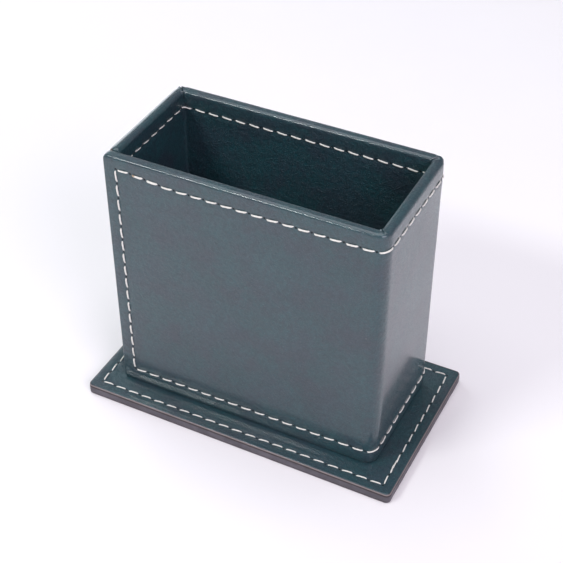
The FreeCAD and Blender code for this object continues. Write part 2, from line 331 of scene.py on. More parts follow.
class WallStrip:
    """Places on the cup's wall strip, from the frame's boxes."""

    def __init__(self, context):
        self.sizes, self.sewing = context.scene.pen_cup_walls, context.scene.pen_cup_sewing
        low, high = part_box("wall_cover")
        self.left, self.front, self.foot = low
        self.right, self.back, self.rim = high
        skin_low, skin_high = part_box("plate_top_skin")
        self.skin = skin_high.z - skin_low.z
        self.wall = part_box("left_end_seam_inside")[0].x - self.left
        self.stop_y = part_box("wall_board_left")[0].y - self.skin
        self.rim_seam = middle("rim_seam_outside").z
        self.foot_seam = middle("foot_seam_outside").z
        self.cover_levels = (self.rim - self.sizes.turn_in, self.foot + self.sizes.turn_in)
        self.lay_out()
        self.place_holes()

    def lay_out(self):
        """Cuts the outer face into straight parts and folds, in order along s."""
        r = self.sizes.fold_radius
        a, b = self.left + r, self.right - r
        c, d = self.front + r, self.back - r
        quarter = r * math.pi / 2
        corners = [
            ((self.left, self.front), (1, 0), b - self.left, (b, c), -90),
            ((self.right, c), (0, 1), d - c, (b, d), 0),
            ((b, self.back), (-1, 0), b - a, (a, d), 90),
            ((self.left, d), (0, -1), d - self.stop_y, None, 0),
        ]
        self.straights, self.folds, s = [], [], 0.0
        for start, along, length, centre, angle in corners:
            self.straights.append((s, s + length, np.array(start), np.array(along, float)))
            s += length
            if centre:
                self.folds.append((s, s + quarter, np.array(centre), math.radians(angle)))
                s += quarter
        self.length = s
        self.fold_middles = [(start + end) / 2 for start, end, _, _ in self.folds]
        self.fold_reach = self.wall + self.sizes.inner_radius - r

    def place_holes(self):
        """Needle holes along s, for the outside rows and, without those in the folds, inside."""
        sewing, r = self.sewing, self.sizes.fold_radius
        front, right, back, left = (part[0] for part in self.straights)
        width, depth = self.right - self.left, self.back - self.front
        runs = [
            (middle("front_end_seam_outside").x - self.left, front + width - sewing.front_stop),
            (right + sewing.right_start - r, right + depth - sewing.right_stop - r),
            (back + sewing.back_inset - r, back + width - sewing.back_inset - r),
            (left + sewing.left_start - r,
             left + self.back - r - middle("left_end_seam_outside").y),
        ]
        self.first_hole, self.last_hole = runs[0][0], runs[-1][1]
        outside, inside = [], []
        for start, end in runs:
            holes = spaced(start, end, sewing.pitch)
            if outside:
                outside += spaced(outside[-1], start, sewing.pitch)[1:-1]
            inside += holes if outside else holes[:-1]
            outside += holes
        self.holes = {"outside": outside, "inside": inside}
        self.upright = spaced(self.foot_seam, self.rim_seam, sewing.pitch)

    def outer(self, s):
        """Points and outward normals of the outer face at the distances s."""
        s = np.clip(np.asarray(s, float), 0, self.length)
        point, normal = np.zeros(s.shape + (2,)), np.zeros(s.shape + (2,))
        for start, end, origin, along in self.straights:
            here = (s >= start) & (s <= end)
            point[here] = origin + (s[here] - start)[:, None] * along
            normal[here] = (along[1], -along[0])
        for start, end, centre, angle in self.folds:
            here = (s > start) & (s < end)
            turn = angle + (s[here] - start) / self.sizes.fold_radius
            normal[here] = np.stack([np.cos(turn), np.sin(turn)], -1)
            point[here] = centre + self.sizes.fold_radius * normal[here]
        return point, normal

    def inner(self, s, depth=None):
        """Points of the inner face, or of a layer at that depth, and normals into the cup."""
        depth = self.wall if depth is None else depth
        s = np.asarray(s, float)
        point, normal = self.outer(s)
        point, normal = point - normal * depth, -normal
        for start, end, centre, angle in self.folds:
            low, high = start - self.fold_reach, end + self.fold_reach
            here = (s > low) & (s < high)
            turn = angle + (s[here] - low) / (high - low) * math.pi / 2
            out = np.stack([np.cos(turn), np.sin(turn)], -1)
            aside = np.array([math.cos(angle + math.pi / 4), math.sin(angle + math.pi / 4)])
            corner = centre - aside * self.fold_reach * math.sqrt(2)
            point[here] = corner + (self.sizes.inner_radius + self.wall - depth) * out
            normal[here] = -out
        return point, normal

    def drift(self, s, z):
        """How far the rim seam, and the faces round it, rise near the strip's free end."""
        along = fade(s, 27 * MM, 5 * MM)
        below = fade(z, self.rim_seam - 22 * MM, self.rim_seam - 2 * MM)
        above = fade(z, self.cover_levels[0], self.rim_seam + 1 * MM)
        return self.sewing.drift * along * along * (3 - 2 * along) * below * above

    def levels(self):
        """Heights of the grid lines that the outer and inner faces share."""
        low, high = self.foot + self.sizes.foot_height, self.rim - self.sizes.roll_height
        keep = (low, high, *self.cover_levels)
        lines = set(keep) | either_side(self.upright, (HOLE_CELL,))
        lines |= between_each(self.upright, (0.36, 0.64))
        lines |= either_side((self.rim_seam, self.foot_seam), SEAM_LINES)
        return thinned(lines, low, high, keep=keep)

    def columns(self):
        """Distances along the strip of the upright grid lines."""
        turn_in, holes = self.sizes.turn_in, self.holes["outside"]
        keep = {0.0, self.length, turn_in, self.length - turn_in, *self.fold_middles}
        keep |= either_side(holes, (HOLE_CELL,))
        lines = keep | between_each(holes, (0.3, 0.5, 0.7))
        lines |= either_side((0.0, self.length), END_LINES)
        lines |= either_side(self.fold_middles, FOLD_LINES)
        return thinned(lines, 0.0, self.length, keep=keep, cells=holes)


class WallGrid:
    """The strip's whole surface: columns along s, and rows round its upright section.

    The rows run up the outer face, over the rim, down the inner face and under the foot.
    """

    def __init__(self, strip):
        self.strip = strip
        levels = strip.levels()
        n, half = len(levels), strip.wall / 2
        self.outside, self.rolled = slice(0, n), slice(n, n + ROLL_ROWS)
        self.inside = slice(n + ROLL_ROWS, 2 * n + ROLL_ROWS)
        self.turn, curl = half_turn(ROLL_ROWS), half_turn(UNDER_ROWS)
        rim_d = half - half * squared(np.cos(self.turn), RIM_PLAN)
        rim_z = np.full(ROLL_ROWS, strip.rim)  # shaped() gives the roll its heights
        foot_d = half + half * squared(np.cos(curl), FOOT_PLAN)
        foot_z = strip.foot + strip.sizes.foot_height * (1 - np.sin(curl) ** FOOT_SQUARE)
        self.d = np.concatenate([np.zeros(n), rim_d, np.full(n, strip.wall), foot_d])
        self.z = np.concatenate([levels, rim_z, levels[::-1], foot_z])
        zero, one = np.zeros(n), np.ones(n)
        self.out_d = np.concatenate([-one, -np.cos(self.turn), one, np.cos(curl)])
        self.out_z = np.concatenate([zero, np.sin(self.turn), zero, -np.sin(curl)])
        self.s = strip.columns()
        self.points = self.shaped()

    def shaped(self):
        """The grid's points, with the rim rolled and the strip's ends eased."""
        strip, sizes = self.strip, self.strip.sizes
        s = self.s[:, None]
        z = np.broadcast_to(self.z, (len(self.s), len(self.z))).copy()
        square = RIM_SQUARE
        for k, change in RIM_SQUARE_CHANGES:
            start = strip.straights[k][0]
            square = square + change * fade(s, start - 3 * MM, start)
        z[:, self.rolled] = strip.rim - sizes.roll_height * (1 - np.sin(self.turn) ** square)
        e = np.minimum(s, strip.length - s)
        inset = rounded(e, sizes.end_ease)
        d = inset + self.d * (strip.wall - 2 * inset) / strip.wall
        drop = rounded(e, sizes.end_drop) * np.where(s < strip.length / 2, 1.0, 0.45)
        z = z + strip.drift(s, z) - drop * fade(z, strip.rim - 5 * MM, strip.rim) ** 2
        (outer, _), (inner, _) = strip.outer(self.s), strip.inner(self.s)
        share = (d / strip.wall)[..., None]
        plan = outer[:, None] * (1 - share) + inner[:, None] * share
        across = inner - outer
        across /= np.linalg.norm(across, axis=1, keepdims=True)
        points = np.concatenate([plan, z[..., None]], -1)
        out_z = np.broadcast_to(self.out_z[:, None], d.shape + (1,))
        out = np.concatenate([across[:, None] * self.out_d[:, None], out_z], -1)
        return points + out * self.relief(points)[..., None]

    def relief(self, points):
        """How far each point stands out of the plain strip: furrows, creases and unevenness."""
        strip, sizes = self.strip, self.strip.sizes
        s, z, share = self.s[:, None], self.z, self.d / strip.wall
        face = np.zeros(len(self.d), bool)
        face[self.outside] = face[self.inside] = True
        depth, width = sizes.furrow, sizes.furrow_width
        (first, last), (low, high) = self.seam_ends(), (strip.foot_seam, strip.rim_seam)
        rows = ripple(z - high, depth, width) + ripple(z - low, depth, width)
        ends = ripple(s - first, depth, width) + ripple(s - last, depth, width)
        rows = rows * within(s, first, last, SEAM_FADE)
        level = (rows + ends * within(z, low, high, SEAM_FADE)) * face
        # Gathered folds on the rim and down the inner corners
        above = fade(z, high + 1.5 * MM, high + 4 * MM)
        for half, start, deep in zip(strip.fold_middles, CREASE_FROM, CREASE_DEPTH):
            beside = np.abs(s - half)
            pinch = bell(beside, 0.26 * MM) - 0.5 * bell(beside - 0.85 * MM, 0.4 * MM)
            level = level - sizes.crease * deep * pinch * fade(share, start, start + 0.3) * above
        for k, height in CORNER_TIPS:
            tip = bell(s - strip.fold_middles[k], 0.75 * MM) * bell(share - 0.20, 0.26)
            level = level + sizes.tip * height * tip * (z > strip.rim - 2 * MM)
        level = level + sizes.wave * wander(points, 13 * MM, 1) * face
        return level + sizes.rim_wave * wander(points, 7 * MM, 2) * (~face & (z > high))

    def seam_ends(self):
        """Where the strip's two end seams stand, along s."""
        return self.strip.first_hole, self.strip.last_hole

    def vertex(self, column, row):
        """The number of a grid point; the rows close on themselves."""
        return column * len(self.d) + row % len(self.d)

    def lining_window(self):
        """First and last column and row of the opening that the lining fills."""
        turn_in = self.strip.sizes.turn_in
        columns = [nearest(self.s, v) for v in (turn_in, self.strip.length - turn_in)]
        heights = self.z[self.inside]
        rows = [self.inside.start + nearest(heights, v) for v in self.strip.cover_levels]
        return (*columns, *rows)

    def hole_cells(self):
        """The grid cells that hold a needle hole."""
        cells = set()
        for name, rows, side in (("outside", self.outside, -1), ("inside", self.inside, 1)):
            for s, z in self.hole_places(self.strip.holes[name]):
                row = rows.start + nearest(self.z[rows], z + side * HOLE_CELL)
                cells.add((nearest(self.s, s - HOLE_CELL), row))
        return cells

    def hole_places(self, holes):
        """The needle holes of the level and upright seams of one face, as s and z."""
        strip = self.strip
        level = [(s, z) for s in holes for z in (strip.rim_seam, strip.foot_seam)]
        return level + [(s, z) for s in self.seam_ends() for z in strip.upright]


class MeshParts:
    """Vertices, faces and masks of one piece: pit, for the painted shade in needle holes and the
    dark lines of the painted edge, and a second colour for bare edges, burnt thread and the edge
    paint's painted highlight.
    """

    def __init__(self):
        self.points, self.faces, self.pit, self.raw_burnt_and_highlight = [], [], {}, {}

    def add(self, points):
        """Adds points and returns their numbers."""
        first = len(self.points)
        self.points.extend(tuple(p) for p in points)
        return list(range(first, len(self.points)))

    def bridge(self, one, other):
        """Joins two closed rings of as many points."""
        n = len(one)
        self.faces += [
            (one[k], one[(k + 1) % n], other[(k + 1) % n], other[k]) for k in range(n)
        ]

    def needle_hole(self, corners, sewing):
        """A round pit in a square cell whose corners run anticlockwise seen from outside."""
        radius, depth = sewing.hole_radius, sewing.hole_depth
        at = [Vector(self.points[i]) for i in corners]
        side_u, side_v = at[1] - at[0], at[3] - at[0]
        out = side_u.cross(side_v).normalized()
        mid = sum(at, Vector()) / 4
        u, v = side_u.normalized(), side_v.normalized()
        angles = [math.radians(-157.5 + 45 * k) for k in range(8)]
        rings = []
        # pit sets how much painted shade each ring of the hole gets in the material
        for reach, down, pit in ((1.45, 0.0, 0), (1.0, 0.12, 0.55), (0.8, 0.7, 1)):
            ring = self.add(
                mid + (u * math.cos(a) + v * math.sin(a)) * radius * reach - out * depth * down
                for a in angles
            )
            self.pit.update({i: pit for i in ring})
            rings.append(ring)
        outer = rings[0]
        for k in range(4):
            a, b = corners[k], corners[(k + 1) % 4]
            self.faces.append((a, outer[(2 * k + 1) % 8], outer[2 * k]))
            self.faces.append((a, b, outer[(2 * k + 2) % 8], outer[2 * k + 1]))
        for ring, deeper in zip(rings, rings[1:]):
            self.bridge(ring, deeper)
        (bottom,) = self.add([mid - out * depth])
        self.pit[bottom] = 1
        self.faces += [(rings[-1][k], rings[-1][(k + 1) % 8], bottom) for k in range(8)]

    def build(self, name, material, sharp=math.radians(48), merge=None):
        """Makes the object, smooth but for its sharp edges, with coincident points merged."""
        used = sorted({i for face in self.faces for i in face})
        number = {old: new for new, old in enumerate(used)}
        faces = [[number[i] for i in face] for face in self.faces]
        mesh = bpy.data.meshes.new(name)
        mesh.from_pydata([self.points[i] for i in used], [], faces)
        for label, values in (("pit", self.pit), ("raw_burnt_and_highlight", self.raw_burnt_and_highlight)):
            layer = mesh.attributes.new(label, "FLOAT", "POINT")
            layer.data.foreach_set("value", [float(values.get(i, 0)) for i in used])
        if merge:
            work = bmesh.new()
            work.from_mesh(mesh)
            bmesh.ops.remove_doubles(work, verts=work.verts, dist=merge)
            bmesh.ops.dissolve_degenerate(work, edges=work.edges, dist=merge / 10)
            work.to_mesh(mesh)
            work.free()
        mesh.validate()
        mesh.shade_smooth()
        mesh.set_sharp_from_angle(angle=sharp)
        mesh.materials.append(material)
        piece = bpy.data.objects.new(name, mesh)
        bpy.context.scene.collection.objects.link(piece)
        return piece


def hand_over(parts, name, slot, node, **how):
    """Builds a piece and fixes it to the frame in place of its node."""
    piece = parts.build(name, material_of(SLOT_MATERIALS[slot]), **how)
    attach(piece, "root")
    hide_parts(node)


# Node groups and materials


class Nodes:
    """Short ways to add and join the shader nodes of one tree."""

    def __init__(self, tree):
        self.tree = tree

    def new(self, kind, **values):
        """A node with its settings and inputs; an input's spaces are written as underscores."""
        node = self.tree.nodes.new(kind)
        for key, value in values.items():
            if hasattr(node, key):
                setattr(node, key, value)
            else:
                self.join(node.inputs[key.replace("_", " ")], value)
        return node

    def join(self, socket, value):
        """Links an input to another node's output, or sets it."""
        if isinstance(value, bpy.types.NodeSocket):
            self.tree.links.new(value, socket)
        else:
            socket.default_value = value

    def feed(self, node, **inputs):
        """Joins several inputs of a node."""
        for key, value in inputs.items():
            self.join(node.inputs[key.replace("_", " ")], value)

    def place(self):
        """Object coordinates."""
        return self.new("ShaderNodeTexCoord").outputs["Object"]

    def mask(self, name):
        """One of the masks that the meshes carry."""
        return self.new("ShaderNodeAttribute", attribute_name=name).outputs["Fac"]

    def maths(self, operation, a, b, clamp=False):
        node = self.new("ShaderNodeMath", operation=operation, use_clamp=clamp)
        self.join(node.inputs[0], a)
        self.join(node.inputs[1], b)
        return node.outputs[0]

    def times(self, a, b):
        return self.maths("MULTIPLY", a, b)

    def plus(self, a, b):
        return self.maths("ADD", a, b)

    def ramp(self, value, low, high, to_low=0.0, to_high=1.0):
        """A smooth step from one value to another."""
        node = self.new("ShaderNodeMapRange", interpolation_type="SMOOTHSTEP")
        for socket, v in zip(node.inputs, (value, low, high, to_low, to_high)):
            self.join(socket, v)
        return node.outputs[0]

    def blend(self, share, a, b):
        """A mix of two colours."""
        node = self.new("ShaderNodeMix", data_type="RGBA")
        self.join(node.inputs[0], share)
        for socket, value in ((node.inputs[6], a), (node.inputs[7], b)):
            self.join(socket, value if isinstance(value, bpy.types.NodeSocket) else (*value, 1))
        return node.outputs[2]

    def noise(self, where, scale, detail=2.0, roughness=0.5, output="Fac"):
        node = self.new("ShaderNodeTexNoise", Vector=where, Scale=scale, Detail=detail,
                        Roughness=roughness)
        return node.outputs[output]

    def group(self, name, **values):
        """The outputs of a shared node group."""
        return self.new("ShaderNodeGroup", node_tree=shared_group(name), **values).outputs

    def bump(self, surface, height, distance, strength):
        """Joins a height to a surface's normal."""
        node = self.new("ShaderNodeBump", Height=height, Distance=distance, Strength=strength)
        self.feed(surface, Normal=node.outputs["Normal"])


def pebble_grain(n, given, out):
    """Fine pressed grain: soft pebbles with hairline valleys between them."""
    place = n.place()
    shift = n.new("ShaderNodeVectorMath", operation="MULTIPLY_ADD")
    bend = n.noise(place, 420.0, output="Color")
    for socket, value in zip(shift.inputs, (bend, (0.9 * MM, 0.9 * MM, 0.9 * MM), place)):
        n.join(socket, value)
    cells = n.new("ShaderNodeTexVoronoi", feature="DISTANCE_TO_EDGE", Vector=shift.outputs[0],
                  Scale=given["Cells per metre"])
    pebble = n.ramp(cells.outputs["Distance"], 0.0, given["Softness"])
    fine = n.noise(place, n.times(given["Cells per metre"], 1.7), 3.0, 0.6)
    n.feed(out, Height=n.plus(n.times(pebble, 0.65), n.times(fine, 0.5)),
           Valley=n.maths("SUBTRACT", 1.0, pebble, clamp=True))


def mottle(n, given, out):
    """Cloudy tone at three sizes, and a few fine specks of dust."""
    place, clouds = n.place(), given["Clouds per metre"]
    dots = n.new("ShaderNodeTexVoronoi", feature="F1", Vector=place, Scale=330.0)
    near = n.ramp(dots.outputs["Distance"], 0.035, 0.06, 1.0, 0.0)
    chosen = n.ramp(n.noise(place, 95.0, 1.0), 0.60, 0.66)
    n.feed(
        out,
        Cloud=n.ramp(n.noise(place, clouds, 4.0, 0.62), 0.36, 0.66),
        Smudge=n.ramp(n.noise(place, n.times(clouds, 0.45)), 0.35, 0.7),
        Marble=n.ramp(n.noise(place, n.times(clouds, 8.0), 4.0, 0.7), 0.3, 0.72),
        Speck=n.times(n.times(near, chosen), given["Dust"]),
    )


def fibres(n, given, out):
    """Short matted fibres, for board, paint and thread."""
    place = n.place()
    stretch = n.new("ShaderNodeMapping", vector_type="POINT", Vector=place, Scale=(0.35, 0.5, 1.6))
    strands = n.noise(stretch.outputs[0], given["Fibres per metre"], 5.0, 0.7)
    patch = n.noise(place, n.times(given["Fibres per metre"], 0.12), 3.0, 0.6)
    n.feed(out, Height=strands, Tone=n.plus(n.times(strands, 0.6), n.times(patch, 0.4)))


GROUPS = {
    "pebble_grain": (
        pebble_grain, {"Cells per metre": 1900, "Softness": 0.5}, ("Height", "Valley")
    ),
    "mottle": (
        mottle, {"Clouds per metre": 70, "Dust": 0.5}, ("Cloud", "Smudge", "Marble", "Speck")
    ),
    "fibres": (fibres, {"Fibres per metre": 1500}, ("Height", "Tone")),
}


def shared_group(name):
    """The shader node group of that name, made at its first use; its sockets are numbers."""
    if name not in bpy.data.node_groups:
        fill, inputs, outputs = GROUPS[name]
        group = bpy.data.node_groups.new(name, "ShaderNodeTree")
        kind = "NodeSocketFloat"
        for label, default in inputs.items():
            socket = group.interface.new_socket(name=label, in_out="INPUT", socket_type=kind)
            socket.default_value = default
        for label in outputs:
            group.interface.new_socket(name=label, in_out="OUTPUT", socket_type=kind)
        n = Nodes(group)
        fill(n, n.new("NodeGroupInput").outputs, n.new("NodeGroupOutput"))
    return bpy.data.node_groups[name]


def scaled(colour, by):
    """A lighter or darker colour."""
    return tuple(min(1.0, c * by) for c in colour)


def leatherette(n, surface, colours, cells, gloss, tone, clouds):
    """Pressed, faintly mottled synthetic leather, with painted shade in its grain valleys and
    needle holes.
    """
    grain = n.group("pebble_grain", Cells_per_metre=cells, Softness=0.42)
    cloudy = n.group("mottle", Clouds_per_metre=clouds, Dust=0.5)
    main, shade = colours.leather, colours.leather_shade
    colour = n.blend(cloudy["Cloud"], scaled(main, tone), scaled(shade, tone))
    colour = n.blend(n.times(cloudy["Smudge"], 0.35), colour, scaled(main, tone * 1.5))
    colour = n.blend(n.times(cloudy["Marble"], 0.55), colour, scaled(shade, tone * 0.5))
    # painted shade: the grain's hairline valleys are darkened
    colour = n.blend(n.times(grain["Valley"], 0.5), colour, scaled(main, tone * 0.35))
    colour = n.blend(cloudy["Speck"], colour, colours.leather_dust)
    # painted shade: the pit mask darkens the needle holes nearly to black green
    pit = n.mask("pit")
    colour = n.blend(n.mask("raw_burnt_and_highlight"), colour, colours.leather_raw)
    rough = n.plus(n.times(cloudy["Marble"], 0.10), gloss)
    rough = n.plus(rough, n.times(grain["Valley"], 0.12))
    n.feed(
        surface,
        Base_Color=n.blend(pit, colour, scaled(main, 0.12)),
        Roughness=n.maths("MAXIMUM", rough, n.times(pit, 0.9)),
        IOR=1.5,
        Specular_IOR_Level=0.45,
        Coat_Weight=0.9,
        Coat_Roughness=0.14,
        Coat_IOR=1.5,
    )
    relief = n.plus(grain["Height"], n.times(cloudy["Marble"], 1.1))
    n.bump(surface, relief, 0.18 * MM, 0.95)


def sewing_thread(n, surface, colours):
    """Waxed white thread, with a burnt tip where the seam starts."""
    hairy = n.group("fibres", Fibres_per_metre=5200)
    colour = n.blend(hairy["Tone"], scaled(colours.thread, 0.84), scaled(colours.thread, 1.12))
    n.feed(
        surface,
        Base_Color=n.blend(n.mask("raw_burnt_and_highlight"), colour, colours.thread_burnt),
        Roughness=n.ramp(hairy["Tone"], 0.2, 0.8, 0.5, 0.75),
        Sheen_Weight=0.25,
        Sheen_Roughness=0.4,
    )
    n.bump(surface, hairy["Height"], 0.08 * MM, 0.5)


def painted_edge(n, surface, colours):
    """Satin paint over the plate's layers, with a painted highlight on its shoulder and dark in
    its lines.
    """
    cloudy = n.group("mottle", Clouds_per_metre=160, Dust=0.2)
    brushed = n.group("fibres", Fibres_per_metre=900)
    paint = colours.edge_paint
    colour = n.blend(cloudy["Cloud"], scaled(paint, 0.85), scaled(paint, 1.2))
    # painted highlight: the shoulder rows get a lighter tan colour
    colour = n.blend(n.mask("raw_burnt_and_highlight"), colour, colours.edge_highlight)
    n.feed(
        surface,
        Base_Color=n.blend(n.mask("pit"), colour, colours.edge_line),
        Roughness=n.ramp(brushed["Tone"], 0.3, 0.7, 0.46, 0.62),
        Specular_IOR_Level=0.32,
    )
    n.bump(surface, brushed["Height"], 0.12 * MM, 0.4)


def grey_board(n, surface, colours):
    """Matt fibrous board."""
    pulp = n.group("fibres", Fibres_per_metre=1300)
    tone = n.ramp(pulp["Tone"], 0.25, 0.75)
    n.feed(
        surface,
        Base_Color=n.blend(tone, scaled(colours.board, 0.7), scaled(colours.board, 1.2)),
        Roughness=n.ramp(tone, 0.0, 1.0, 0.8, 0.95),
    )
    n.bump(surface, pulp["Height"], 0.1 * MM, 0.5)


def studio_floor(n, surface, colours):
    """Pale, almost even paper."""
    cloudy = n.group("mottle", Clouds_per_metre=6, Dust=0.0)
    colour = n.blend(cloudy["Cloud"], colours.floor, scaled(colours.floor, 1.015))
    n.feed(surface, Base_Color=colour, Roughness=0.85)


MATERIALS = {
    "green_cover_leatherette": (leatherette, dict(cells=1700, gloss=0.30, tone=1.0, clouds=95)),
    "green_lining_leatherette": (leatherette, dict(cells=1600, gloss=0.33, tone=1.0, clouds=85)),
    "green_underside_leatherette": (leatherette, dict(cells=1400, gloss=0.5, tone=0.8, clouds=45)),
    "white_sewing_thread": (sewing_thread, {}),
    "brown_edge_paint": (painted_edge, {}),
    "grey_board": (grey_board, {}),
    "studio_floor": (studio_floor, {}),
}

SLOT_MATERIALS = {
    "cover_leatherette": "green_cover_leatherette",
    "lining_leatherette": "green_lining_leatherette",
    "underside_leatherette": "green_underside_leatherette",
    "thread": "white_sewing_thread",
    "edge_paint": "brown_edge_paint",
}


def material_of(name):
    """The material of that name, made at its first use."""
    if name not in bpy.data.materials:
        fill, values = MATERIALS[name]
        material = bpy.data.materials.new(name)
        material.use_nodes = True
        n = Nodes(material.node_tree)
        n.tree.nodes.clear()
        surface = n.new("ShaderNodeBsdfPrincipled")
        n.new("ShaderNodeOutputMaterial", Surface=surface.outputs[0])
        fill(n, surface, bpy.context.scene.pen_cup_colours, **values)
    return bpy.data.materials[name]


# Wall leatherette and floor lining


class WallSkins:
    """The walls' cover and lining: the grid's faces, and the sides that the boards hide."""

    def __init__(self, context):
        self.strip = WallStrip(context)
        self.grid = grid = WallGrid(self.strip)
        self.cover, self.lining = MeshParts(), MeshParts()
        for parts in (self.cover, self.lining):
            parts.add(grid.points.reshape(-1, 3))
        self.window = first, last, top, bottom = grid.lining_window()
        holes, v = grid.hole_cells(), grid.vertex
        for c in range(len(grid.s) - 1):
            for r in range(len(grid.d)):
                corners = (v(c, r), v(c + 1, r), v(c + 1, r + 1), v(c, r + 1))
                lined = first <= c < last and top <= r < bottom
                parts = self.lining if lined else self.cover
                if (c, r) in holes:
                    parts.needle_hole(corners, self.strip.sewing)
                else:
                    parts.faces.append(corners)
        self.close_ends()
        self.hollow()
        self.back()
        for back_by, bare in enumerate(RAW_EDGE):
            for r in range(grid.rolled.start, grid.rolled.start + RAW_EDGE_ROWS):
                self.cover.raw_burnt_and_highlight[v(len(grid.s) - 1 - back_by, r)] = bare

    def close_ends(self):
        """The flat ends of the strip."""
        grid = self.grid
        turn = grid.inside.stop - 1
        pairs = [(i, turn - i) for i in range(grid.outside.stop + ROLL_ROWS // 2 + 1)]
        below = [(turn + 1 + j, turn + UNDER_ROWS - j) for j in range(UNDER_ROWS // 2 + 1)]
        ladder = [(b, a) for a, b in reversed(below)] + pairs
        for column, flip in ((0, False), (len(grid.s) - 1, True)):
            for (a, b), (c, d) in zip(ladder, ladder[1:]):
                face = list(dict.fromkeys(grid.vertex(column, i) for i in (a, c, d, b)))
                self.cover.faces.append(tuple(reversed(face)) if flip else tuple(face))

    def layer(self, s, depth, z):
        """A hidden point of the strip, measured from its nearer face."""
        if depth < self.strip.wall / 2:
            point, normal = self.strip.outer(np.array([s]))
            plan = point[0] - normal[0] * depth
        else:
            plan = self.strip.inner(np.array([s]), depth)[0][0]
        return (*plan, z)

    def hollow(self):
        """The cover's hidden side, round the space of the boards."""
        strip, grid, cover, v = self.strip, self.grid, self.cover, self.grid.vertex
        first, last, top, bottom = self.window
        skin, inner = strip.skin, strip.wall - strip.skin
        upper, lower = strip.cover_levels
        section = [(inner, upper), (inner, strip.rim - skin), (skin, strip.rim - skin),
                   (skin, strip.foot + skin), (inner, strip.foot + skin), (inner, lower)]
        chains = []
        for c in range(first, last + 1):
            hidden = cover.add(self.layer(grid.s[c], d, z) for d, z in section)
            chains.append([v(c, top), *hidden, v(c, bottom)])
        for one, other in zip(chains, chains[1:]):
            for k in range(len(one) - 1):
                cover.faces.append((one[k], other[k], other[k + 1], one[k + 1]))
        for column, chain, end, flip in (
            (first, chains[0], skin, False),
            (last, chains[-1], strip.length - skin, True),
        ):
            edge = [v(column, r) for r in range(top, bottom + 1)]
            behind = cover.add(
                self.layer(grid.s[column], inner, grid.z[r]) for r in range(top + 1, bottom)
            )
            behind = [chain[1], *behind, chain[6]]
            q = cover.add(self.layer(end, d, z) for d, z in section[1:5])
            faces = [
                (edge[k + 1], edge[k], behind[k], behind[k + 1]) for k in range(len(edge) - 1)
            ]
            faces += [(chain[k + 2], chain[k + 3], q[k + 1], q[k]) for k in range(3)]
            faces += [(q[3], q[0], q[1], q[2])]
            faces += [(*reversed(behind), chain[2], q[0], q[3], chain[5])]
            cover.faces += [tuple(reversed(face)) for face in faces] if flip else faces

    def back(self):
        """The lining's hidden side and its cut edges."""
        strip, grid, lining, v = self.strip, self.grid, self.lining, self.grid.vertex
        first, last, top, bottom = self.window
        rows = range(top, bottom + 1)
        depth = strip.wall - strip.skin
        pairs = [lining.add(self.layer(grid.s[c], depth, z) for z in strip.cover_levels)
                 for c in range(first, last + 1)]
        for c, (a, b), (e, f) in zip(range(first, last), pairs, pairs[1:]):
            lining.faces.append((v(c + 1, top), v(c, top), a, e))
            lining.faces.append((e, a, b, f))
            lining.faces.append((v(c, bottom), v(c + 1, bottom), f, b))
        lining.faces.append((*[v(first, r) for r in rows], pairs[0][1], pairs[0][0]))
        lining.faces.append((*[v(last, r) for r in reversed(rows)], *pairs[-1]))


class PENCUP_OT_wall_leatherette(bpy.types.Operator):
    """Build the cover that wraps the walls and the lining inside them"""

    bl_idname = "pen_cup.wall_leatherette"
    bl_label = "Wall Leatherette"

    def execute(self, context):
        skins = WallSkins(context)
        hand_over(skins.cover, "wall_cover_leather", "cover_leatherette", "wall_cover")
        hand_over(skins.lining, "wall_lining_leather", "lining_leatherette", "wall_lining")
        return {"FINISHED"}


class RoundedOutline:
    """Points anticlockwise round a rounded rectangle, at any inset."""

    def __init__(self, half, radius, step):
        self.half, self.radius, self.points = half, radius, []
        corners = [(1, -1, -90), (1, 1, 0), (-1, 1, 90), (-1, -1, 180)]
        for k, (x, y, angle) in enumerate(corners):
            for j in range(CORNER_STEPS + 1):
                turn = math.radians(angle + 90 / CORNER_STEPS * j)
                self.points.append(((x, y), (x, y), 0, (math.cos(turn), math.sin(turn))))
            to_x, to_y, _ = corners[(k + 1) % 4]
            length = 2 * (half.y if x == to_x else half.x) - 2 * radius
            count = max(2, round(length / step))
            out = (x, 0) if x == to_x else (0, y)
            self.points += [((x, y), (to_x, to_y), j / count, out) for j in range(1, count)]

    def inset(self, e):
        """The points, drawn in by e."""
        r = max(self.radius - e, 0)
        core = [max(side - max(self.radius, e), 0) for side in self.half]
        return [
            tuple((a[i] + (b[i] - a[i]) * share) * core[i] + out[i] * r for i in (0, 1))
            for a, b, share, out in self.points
        ]


